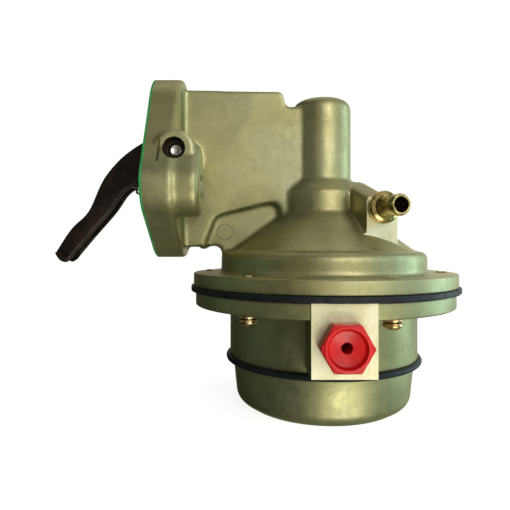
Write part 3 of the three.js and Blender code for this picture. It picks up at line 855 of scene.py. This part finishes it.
        # painted shade: the pin recess walls take the dark steel paint so the recesses look shadowed
        in_recess = (
            math.hypot(centre.x - PIVOT_X, centre.z - PIVOT_Z) < RECESS_R + 0.02
            and abs(centre.y) > 28
        )
        return 2 if in_recess else int(on_flange or on_pad)

    return piece(
        housing,
        "upper_housing_cast",
        ["upper_housing"],
        "pump_body",
        CAST,
        (MACHINED, DARK),
        pick,
    )


# ------------------------------------------------------------------ middle casting and bowl
def valve_body():
    profile = [
        (0, BODY_LOW),
        (BODY_R, BODY_LOW, 0.9),
        (BODY_R, LOWER_RIM_UNDERSIDE, 1.2),
        (RIM_R - 1, LOWER_RIM_UNDERSIDE, 0.8),
        (RIM_R - 1, DIAPHRAGM_LOW - 0.05, 0.6),
        (0, DIAPHRAGM_LOW - 0.05),
    ]
    core = lathe("core", fillet(profile, 5), 180)
    bosses = []
    for side in (-1, 1):
        near, far = sorted((side * 38, side * (PORT_FACE + 1)))
        boss = block(
            "port_boss",
            -PORT_BOSS_HALF,
            PORT_BOSS_HALF,
            near,
            far,
            PORT_BOSS_LOW,
            DIAPHRAGM_LOW - 0.1,
        )
        corners = lambda c: abs(abs(c.x) - PORT_BOSS_HALF) < 0.01
        bm = bmesh.new()
        bm.from_mesh(boss.data)
        upright = [
            e
            for e in bm.edges
            if corners(e.verts[0].co)
            and corners(e.verts[1].co)
            and abs(e.verts[0].co.z - e.verts[1].co.z) > 5
        ]
        bmesh.ops.bevel(bm, geom=upright, offset=2.0, segments=6, profile=0.5, affect="EDGES")
        bm.to_mesh(boss.data)
        bm.free()
        bosses.append(boss)
    join(core, *bosses)
    halves = lathe("cavity", [(7.5, BODY_LOW - 1), (41.5, BODY_LOW - 1), (41.5, DECK_LOW), (7.5, DECK_LOW)])
    cut(halves, block("wall", -50, 50, -2.5, 2.5, 0, 60))
    ports = [
        bar("port", PORT_R, (0, s * 38, PORT_Z), (0, s * (PORT_FACE + 2), PORT_Z), 64) for s in (-1, 1)
    ]
    faces = [
        block("face", -20, 20, *sorted((s * PORT_FACE, s * (PORT_FACE + 5))), 20, 58) for s in (-1, 1)
    ]
    seats = [
        bar("seat", 9, (0, s * VALVE_Y, DECK_LOW - 1), (0, s * VALVE_Y, DECK_HIGH + 1)) for s in (-1, 1)
    ]
    cut(
        core,
        bar("recess", 42.5, (0, 0, DECK_HIGH), (0, 0, DIAPHRAGM_LOW + 1), 120),
        halves,
        *ports,
        *faces,
        *seats,
        bar("bolt_bore", 3.3, (0, 0, BODY_LOW - 1), (0, 0, 40), 32),
        *screw_holes(LOWER_RIM_UNDERSIDE - 1, DIAPHRAGM_LOW + 1),
    )

    def pick(centre, normal):
        return int(abs(normal.y) > 0.99 and abs(centre.y) > PORT_FACE - 0.05)

    return piece(
        core,
        "valve_body_cast",
        ["valve_body"],
        "pump_body",
        CAST_LOWER,
        (MACHINED,),
        pick,
    )


def bowl():
    low = BOWL_UNDERSIDE
    profile = [
        (3.4, 5.2, 0.2),
        (11.5, 5.2, 0.8),
        (12.4, low, 0.8),
        (36.0, low, 5),
        (42.4, low + 4.0, 6),
        (43.4, 14),
        (44.3, BOWL_TOP, 0.5),
        (40.5, BOWL_TOP, 0.3),
        (39.8, 17),
        (38.8, 5.4, 4),
        (33.5, 3.8, 2),
        (16, 3.8, 1),
        (14.6, 8.2, 0.8),
        (6.8, 8.8, 0.8),
        (6.8, BOWL_TOP, 0.3),
        (3.4, BOWL_TOP, 0.2),
    ]
    made = lathe("bowl", fillet(profile, 7), 180)
    return piece(made, "bowl_cast", ["bowl"], "pump_body", CAST_LOWER)


def pulsator_bead():
    low, high = BOWL_TOP + 0.05, BODY_LOW - 0.05
    arc = [
        (
            BEAD_R + BEAD * math.cos(math.radians(-129 + 258 * i / 14)),
            BEAD_Z + BEAD * math.sin(math.radians(-129 + 258 * i / 14)),
        )
        for i in range(15)
    ]
    outline = [(3.4, low), (44.9, low), *arc, (44.9, high), (3.4, high)]
    made = lathe("bead", outline, 216)
    rng = random.Random(SEED)
    waves = [(rng.uniform(0, 6.28), n, rng.uniform(0.02, 0.05)) for n in (3, 7, 13, 29)]
    for vert in made.data.vertices:
        radius = math.hypot(vert.co.x, vert.co.y)
        if radius > 45.6:
            angle = math.atan2(vert.co.y, vert.co.x)
            dip = sum(a * (1 + math.sin(n * angle + s)) / 2 for s, n, a in waves)
            vert.co.x *= (radius - dip) / radius
            vert.co.y *= (radius - dip) / radius
    return piece(made, "pulsator_bead", ["pulsator_diaphragm"], "pump_body", RUBBER)


def diaphragm():
    """The clamped rubber disc; its cut rim is slightly uneven and nicked."""
    profile = [
        (3.3, 57.3),
        (31, 57.3, 1),
        (35, 55.65, 1),
        (39, 55.65, 1),
        (42.2, DIAPHRAGM_LOW, 0.8),
        (58, DIAPHRAGM_LOW),
        (DIAPHRAGM_R, DIAPHRAGM_LOW, 0.5),
        (DIAPHRAGM_R, DIAPHRAGM_HIGH, 0.5),
        (58, DIAPHRAGM_HIGH),
        (43.5, DIAPHRAGM_HIGH, 0.8),
        (39.4, 57.8, 1),
        (35.6, 57.8, 1),
        (31.6, 59.3, 0.8),
        (3.3, 59.3),
    ]
    made = lathe("diaphragm", fillet(profile, 4), 288)
    rng = random.Random(SEED + 1)
    nicks = [
        (rng.uniform(-math.pi, math.pi), rng.uniform(0.006, 0.016), rng.uniform(0.1, 0.4))
        for _ in range(60)
    ]
    for vert in made.data.vertices:
        radius = math.hypot(vert.co.x, vert.co.y)
        if radius < RIM_R + 0.4:
            continue
        angle = math.atan2(vert.co.y, vert.co.x)
        dip = 0.05 * (1 + math.sin(5 * angle)) + 0.03 * (1 + math.sin(23 * angle + 1))
        for at, width, depth in nicks:
            away = abs((angle - at + math.pi) % (2 * math.pi) - math.pi)
            dip = max(dip, depth * (1 - away / width)) if away < width else dip
        vert.co.x *= (radius - dip) / radius
        vert.co.y *= (radius - dip) / radius
    cut(made, *screw_holes(50, 70))
    return piece(made, "diaphragm_disc", ["diaphragm"], "pump_body", RUBBER)


# ------------------------------------------------------------------ plugs and nipple
def port_plug(side, name):
    """A six-sided shipping plug: flange lip, hexagon with rounded corners, dished face, hollow shank."""
    radius = 17.8 / math.sqrt(3)
    corners = [
        (radius * math.cos(math.radians(60 * k)), radius * math.sin(math.radians(60 * k)), 1.1)
        for k in range(6)
    ]
    head = prism("head", fillet(corners, 4), "z", 0.4, 6.7)
    soften(head, lambda c: c.z > 6.6 or c.z < 0.5, 0.45, 3)
    collar = lathe("collar", fillet([(0, 0.12), (8.9, 0.12, 0.3), (8.9, 7, 0.5), (0, 7)], 4), 72)
    shank = [(0, -11), (6.9, -11, 0.6)]
    for i in range(6):
        shank += [(6.9, -9.6 + 1.5 * i), (6.35, -8.9 + 1.5 * i)]
    shank += [(6.35, 1), (0, 1)]
    join(head, collar, lathe("shank", fillet(shank, 3), 72))
    dish = [(0, 4.2), (2.2, 4.4), (6.7, 5.3, 0.8), (7.5, 7.0, 0.2), (8.0, 8.5), (0, 8.5)]
    cut(head, lathe("dish", fillet(dish, 5), 72), bar("hole", 2.2, (0, 0, -12), (0, 0, 8), 40))
    aim(head, (0, side * PORT_FACE, PORT_Z), (0, side, 0))
    node = name.replace("_body", "")
    return piece(head, name, [node], "pump_body", PLASTIC)


def vent_nipple():
    length = NIPPLE_END - NIPPLE_SEAT
    outline = [
        (3.3, -7, 0.2),
        (4.2, -7, 0.3),
        (4.2, 0.12),
        (7.2, 0.12, 0.4),
        (7.2, 2.7, 0.9),
        (5.4, 3.6, 0.6),
        (4.6, 4.4, 0.6),
        (4.1, 6.2, 0.6),
        (4.1, length - 4.4, 0.4),
        (4.65, length - 3.4, 0.4),
        (4.65, length - 0.9, 0.5),
        (4.2, length, 0.3),
        (3.3, length, 0.25),
    ]
    start = nipple_point(NIPPLE_SEAT, NIPPLE_SIDE, NIPPLE_Z)
    made = turned("nipple", fillet(outline, 5), start, nipple_point(1, 0, 0), 72)
    return piece(made, "vent_nipple_turned", ["vent_nipple"], "pump_body", BRASS)


# ------------------------------------------------------------------ flange screws
def flange_screws():
    for i, angle in enumerate(SCREW_ANGLES):
        x, y = screw_spot(angle)
        spin = Matrix.Rotation(angle + math.radians(40 * i), 4, "Z")
        move = Matrix.Translation((x, y, 0)) @ spin
        thread = []
        low = 53.0
        while low < RIM_HIGH:
            thread += [
                (SCREW_R, low),
                (SCREW_R, low + 0.2),
                (SCREW_R - 0.32, low + 0.45),
                (SCREW_R - 0.32, low + 0.6),
            ]
            low += 0.8
        outline = fillet(
            [(0, HEAD_LOW), (2.5, HEAD_LOW, 0.4), (3.85, HEAD_LOW + 1.1, 1.0), (3.85, HEAD_HIGH, 0.3)],
            4,
        )
        outline += [(SCREW_R, HEAD_HIGH), (SCREW_R, 52.9), *thread]
        outline += [(SCREW_R, RIM_HIGH + 0.2), (SCREW_R - 0.5, RIM_HIGH + 0.7), (0, RIM_HIGH + 0.7)]
        screw = lathe("screw", outline, 48)
        arms = []
        for turn in (0, 90):
            arm = block("slot", -2.2, 2.2, -0.45, 0.45, HEAD_LOW - 1, HEAD_LOW + 1.3)
            arm.data.transform(Matrix.Rotation(math.radians(turn), 4, "Z"))
            arms.append(arm)
        cut(screw, *arms)
        screw.data.transform(move)
        name = f"flange_screw_{i + 1}"
        piece(screw, name + "_fine", [name], "pump_body", ZINC)
        washer = lock_washer()
        washer.data.transform(move)
        name = f"flange_lock_washer_{i + 1}"
        piece(washer, name + "_fine", [name], "pump_body", ZINC)


def lock_washer():
    """A split ring, its two ends sprung slightly apart."""
    low, high = HEAD_HIGH + 0.05, LOWER_RIM_UNDERSIDE - 0.05
    section = fillet([(2.7, 0, 0.15), (4.1, 0, 0.25), (4.1, 1, 0.25), (2.7, 1, 0.15)], 2)
    verts, faces, steps, n = [], [], 60, len(section)
    thick = 1.05
    rise = high - low - thick
    for k in range(steps + 1):
        angle = math.radians(5 + 350 * k / steps)
        for r, z in section:
            verts.append((r * math.cos(angle), r * math.sin(angle), low + rise * k / steps + thick * z))
    for k in range(steps):
        for j in range(n):
            m = (j + 1) % n
            faces.append([k * n + j, k * n + m, (k + 1) * n + m, (k + 1) * n + j])
    faces += [list(range(n)), [steps * n + j for j in range(n)]]
    return mesh_object("washer", verts, faces)


# ------------------------------------------------------------------ rocker
ARM_BACK = [
    (-70, 132), (-82, 132.6), (-96.6, 124.6), (-108, 112.2),
    (-115.8, 95.8), (-124.4, 87), (-132.4, 74.8),
]
ARM_TIP = [(-130.4, 71.8), (-127.6, 70.6), (-125.2, 72)]
ARM_BELLY = [(-116, 83), (-105, 95.6), (-97, 106.2), (-84, 111.6), (-70, 111.6), (-57, 116.5)]


def spline(points, steps):
    """The Catmull-Rom spline used by the CAD outline."""
    out = []
    last = len(points) - 1
    for i in range(last * steps):
        at = i / steps
        k = int(at)
        t = at - k
        p0, p1 = points[max(k - 1, 0)], points[k]
        p2, p3 = points[k + 1], points[min(k + 2, last)]
        out.append(
            tuple(
                0.5
                * (
                    (2 * b)
                    + (c - a) * t
                    + (2 * a - 5 * b + 4 * c - d) * t * t
                    + (3 * b - a - 3 * c + d) * t**3
                )
                for a, b, c, d in zip(p0, p1, p2, p3)
            )
        )
    return out


def arm_outline(dx, dz):
    back = spline([(-57, 128.5), *ARM_BACK], 6)
    tip = spline([ARM_BACK[-1], *ARM_TIP], 4)
    belly = spline([ARM_TIP[-1], *ARM_BELLY], 6)
    return [(x + dx, z + dz) for x, z in [*back, *tip, *belly, ARM_BELLY[-1]]]


def rocker_arm():
    blank = prism("arm", arm_outline(0, 0), "y", -ARM_HALF, ARM_HALF)
    soften(blank, lambda c: abs(abs(c.y) - ARM_HALF) < 0.01, 1.3, 5)
    channel = prism("channel", arm_outline(1.9, -2.3), "y", -ARM_INNER_HALF, ARM_INNER_HALF)
    soften(channel, lambda c: abs(abs(c.y) - ARM_INNER_HALF) < 0.01, 0.8, 3)
    hole = bar("hole", BUSH_R + 0.05, (PIVOT_X, -9, PIVOT_Z), (PIVOT_X, 9, PIVOT_Z), 64)
    cut(blank, channel, hole)
    return piece(blank, "rocker_arm_stamped", ["rocker_arm"], "rocker", DARK)


def inner_lever():
    hub = tube("hub", BUSH_R + 0.05, 6.2, (PIVOT_X, -3.7, PIVOT_Z), (PIVOT_X, 3.7, PIVOT_Z))
    blade = [
        (-66, 115.3),
        (-58, 117.2),
        (-8, 119.4),
        (3, 120.6, 2),
        (5.4, 122.6, 1.5),
        (4.6, 125.2, 1.5),
        (1.2, 126.6, 1),
        (-1.2, 126.6, 1),
        (-8, 125.2),
        (-58, 124.6),
        (-66, 126.1),
    ]
    lever = prism("blade", fillet(blade, 4), "y", -LEVER_HALF, LEVER_HALF)
    soften(lever, lambda c: abs(abs(c.y) - LEVER_HALF) < 0.01, 0.4, 2)
    cut(lever, bar("hole", BUSH_R + 0.3, (PIVOT_X, -9, PIVOT_Z), (PIVOT_X, 9, PIVOT_Z), 64))
    join(lever, hub)
    return piece(lever, "inner_lever_stamped", ["inner_lever"], "rocker", DARK)


def pivot_pin():
    half = PIN_HALF + 1.4
    outline = [
        (0, 0.5),
        (1.3, 0.3),
        (2.2, 0, 0.2),
        (2.9, 0.6, 0.3),
        (2.9, 1.8, 0.2),
        (PIN_R, 2.4, 0.3),
        (PIN_R, 2 * half - 2.4, 0.3),
        (2.9, 2 * half - 1.8, 0.2),
        (2.9, 2 * half - 0.6, 0.3),
        (2.2, 2 * half, 0.2),
        (1.3, 2 * half - 0.3),
        (0, 2 * half - 0.5),
    ]
    made = turned("pin", fillet(outline, 4), (PIVOT_X, -half, PIVOT_Z), (0, 1, 0), 56)
    return piece(made, "pivot_pin_ground", ["rocker_pivot_pin"], "pump_body", STEEL)


def spring_piece(node, name, wire, radius, turns, still, moving, body, steps=40):
    """A spring between a still end on the housing and a moving end on another body."""
    made = coil("spring", wire, radius, turns, still, moving, steps)
    piece(made, name, [node], ("pump_body", body, still, moving), STEEL)


def springs():
    spring_piece(
        "rocker_return_spring",
        "rocker_return_coil",
        0.65,
        3.0,
        8,
        (-75.8, 0, 88.8),
        (-97.6, 0, 115.6),
        "rocker",
    )
    spring_piece(
        "diaphragm_spring",
        "diaphragm_coil",
        1.1,
        11.5,
        5,
        (0, 0, 88),
        (0, 0, 62.2),
        "diaphragm_rod",
        60,
    )
    wire = 0.3
    for side, port in ((-1, "inlet"), (1, "outlet")):
        node = f"{port}_valve_spring"
        low, high = (TO_ROW.inverted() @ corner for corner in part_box(node))
        y = (low.y + high.y) / 2
        ends = [(0, y, high.z - wire), (0, y, low.z + wire)]
        still, moving = ends if side < 0 else ends[::-1]
        spring_piece(node, f"{port}_valve_coil", wire, 3.9, 3, still, moving, f"{port}_disc")


# ------------------------------------------------------------------ gasket and lower bolt
def gasket():
    x0 = FLANGE_X - GASKET_THICK
    sheet = prism("sheet", flange_outline(), "x", x0, FLANGE_X - 0.05)
    holes = bolt_holes(BOLT_HOLE_R, x0 - 1, FLANGE_X + 1)
    cut(sheet, *holes, window(0, x0 - 1, FLANGE_X + 1))
    edge = sheet.modifiers.new("edge", "BEVEL")
    edge.limit_method = "ANGLE"
    edge.angle_limit = math.radians(60)
    edge.width = 0.12
    edge.segments = 2
    bake(sheet)
    return piece(sheet, "gasket_sheet", ["mounting_gasket"], "pump_body", FIBRE)


def bowl_bolt():
    radius = 9 / math.sqrt(3)
    corners = [
        (radius * math.cos(math.radians(60 * k)), radius * math.sin(math.radians(60 * k)))
        for k in range(6)
    ]
    head = prism("head", corners, "z", 1.1, 4.0)
    dome = lathe("dome", fillet([(0, 1.1), (3.8, 1.15, 1), (5.25, 1.9, 0.5), (5.25, 4.2), (0, 4.2)], 4), 64)
    solid(head, "INTERSECT", [dome])
    thread, low = [], 12.0
    while low < 37:
        thread += [(3.0, low), (3.0, low + 0.25), (2.6, low + 0.6), (2.6, low + 0.75)]
        low += 1.0
    shaft = lathe("shaft", [(0, 3.5), (3.0, 3.5), (3.0, 11.9), *thread, (2.6, 38), (0, 38)], 48)
    join(head, shaft)
    return piece(head, "bowl_bolt_fine", ["bowl_bolt"], "pump_body", ZINC)


upper_housing()
valve_body()
bowl()
pulsator_bead()
diaphragm()
port_plug(-1, "inlet_plug_body")
port_plug(1, "outlet_plug_body")
vent_nipple()
flange_screws()
rocker_arm()
inner_lever()
pivot_pin()
springs()
gasket()
bowl_bolt()


# ------------------------------------------------------------------ stage
FLOOR_Z = bowl_low.z
WORLD_STRENGTH = 1.7


def stage_paint(name, colour, glow):
    material = bpy.data.materials.new(name)
    material.use_nodes = True
    shader = material.node_tree.nodes["Principled BSDF"]
    shader.inputs["Base Color"].default_value = (*colour, 1)
    shader.inputs["Roughness"].default_value = 0.9
    shader.inputs["Emission Color"].default_value = (1, 1, 1, 1)
    shader.inputs["Emission Strength"].default_value = glow
    return material


def backdrop():
    """A pale floor that sweeps up behind the pump."""
    reach, bend, high = 3.0, 0.5, 3.0
    path = [(-1.2, 0.0)]
    for k in range(13):
        angle = math.radians(7.5 * k)
        path.append((reach - bend + bend * math.sin(angle), bend - bend * math.cos(angle)))
    path.append((reach, high))
    verts = [(x, y, FLOOR_Z + z) for x in (-4.0, 4.1) for y, z in path]
    n = len(path)
    faces = [[i, i + 1, n + i + 1, n + i] for i in range(n - 1)]
    obj = mesh_object("backdrop", verts, faces)
    obj.data.materials.append(stage_paint("backdrop", (0.5, 0.5, 0.5), 0.86))
    obj.data.shade_smooth()
    obj.visible_glossy = False
    obj.visible_diffuse = False
    obj.visible_shadow = False


def world():
    """What the casting reflects: brightest at the front right, near black at the front left,
    cool to the right, dim overhead and dimmer below. The camera itself sees plain white."""
    made = bpy.data.worlds.new("studio")
    bpy.context.scene.world = made
    made.use_nodes = True
    tree = made.node_tree
    background = tree.nodes["Background"]
    coords = tree.nodes.new("ShaderNodeTexCoord")
    split = tree.nodes.new("ShaderNodeSeparateXYZ")
    tree.links.new(coords.outputs["Generated"], split.inputs[0])

    def ramp(socket, stops):
        spread = tree.nodes.new("ShaderNodeMapRange")
        spread.inputs[1].default_value = -1
        tree.links.new(socket, spread.inputs[0])
        band = tree.nodes.new("ShaderNodeValToRGB")
        tree.links.new(spread.outputs[0], band.inputs[0])
        while len(band.color_ramp.elements) < len(stops):
            band.color_ramp.elements.new(0.5)
        for element, (at, colour) in zip(band.color_ramp.elements, stops):
            element.position = (at + 1) / 2
            element.color = (*colour, 1)
        return band.outputs[0]

    upright = ramp(
        split.outputs[2],
        [
            (-1.0, (0.26, 0.27, 0.22)),
            (-0.75, (0.15, 0.165, 0.12)),
            (-0.35, (0.30, 0.31, 0.24)),
            (-0.05, (0.80, 0.79, 0.72)),
            (0.2, (0.84, 0.83, 0.78)),
            (0.6, (0.40, 0.39, 0.36)),
            (1.0, (0.30, 0.30, 0.28)),
        ],
    )
    sideways = ramp(
        split.outputs[0],
        [
            (-1.0, (0.12, 0.19, 0.15)),
            (-0.78, (0.016, 0.011, 0.009)),
            (-0.42, (0.10, 0.088, 0.076)),
            (-0.1, (0.42, 0.40, 0.36)),
            (0.15, (0.60, 0.58, 0.52)),
            (0.42, (1.0, 0.97, 0.86)),
            (0.68, (0.50, 0.56, 0.55)),
            (1.0, (0.42, 0.60, 0.74)),
        ],
    )
    product = tree.nodes.new("ShaderNodeMix")
    product.data_type = "RGBA"
    product.blend_type = "MULTIPLY"
    product.inputs[0].default_value = 1
    tree.links.new(upright, product.inputs[6])
    tree.links.new(sideways, product.inputs[7])
    tree.links.new(product.outputs[2], background.inputs[0])
    background.inputs[1].default_value = WORLD_STRENGTH
    plain = tree.nodes.new("ShaderNodeBackground")
    plain.inputs[0].default_value = (0.95, 0.95, 0.95, 1)
    path = tree.nodes.new("ShaderNodeLightPath")
    choose = tree.nodes.new("ShaderNodeMixShader")
    tree.links.new(path.outputs["Is Camera Ray"], choose.inputs[0])
    tree.links.new(background.outputs[0], choose.inputs[1])
    tree.links.new(plain.outputs[0], choose.inputs[2])
    tree.links.new(choose.outputs[0], tree.nodes["World Output"].inputs[0])


def softbox(name, place, target, size, power, colour=(1, 1, 1)):
    data = bpy.data.lights.new(name, "AREA")
    data.shape = "RECTANGLE"
    data.size, data.size_y = size
    data.energy = power
    data.color = colour
    obj = bpy.data.objects.new(name, data)
    bpy.context.scene.collection.objects.link(obj)
    obj.location = place
    obj.rotation_euler = (Vector(target) - Vector(place)).to_track_quat("-Z", "Y").to_euler()
    obj.visible_camera = False


AIM = (0.06, 0, -0.03)
backdrop()
world()
softbox("key", (0.45, -0.9, 0.35), AIM, (0.5, 0.5), 3.2)
softbox("below", (0.28, -0.55, -0.45), AIM, (0.4, 0.3), 2.2, (1.0, 0.98, 0.9))
softbox("right", (0.9, 0.1, 0.05), AIM, (0.3, 0.8), 2.2, (0.72, 0.98, 1.0))
softbox("left", (-0.8, -0.5, 0.5), AIM, (0.3, 0.5), 0.25)
softbox("top", (0.05, 0.25, 1.0), AIM, (0.9, 0.6), 1.2)

CAMERA_LOCAL = (-33.6, -239.1, 78.0)
FOCAL_PX, IMAGE_PX, HORIZON_PX = 472.6, 510, 247.1
camera = bpy.data.objects.new("camera", bpy.data.cameras.new("camera"))
bpy.context.scene.collection.objects.link(camera)
camera.location = TO_ROW @ Vector(CAMERA_LOCAL)
camera.rotation_euler = (math.pi / 2, 0, 0)
camera.data.sensor_width = 36
camera.data.lens = 36 * FOCAL_PX / IMAGE_PX
camera.data.shift_y = (HORIZON_PX - IMAGE_PX / 2) / IMAGE_PX
camera.data.clip_start = 0.01
bpy.context.scene.camera = camera
bpy.context.scene.view_settings.view_transform = "Standard"
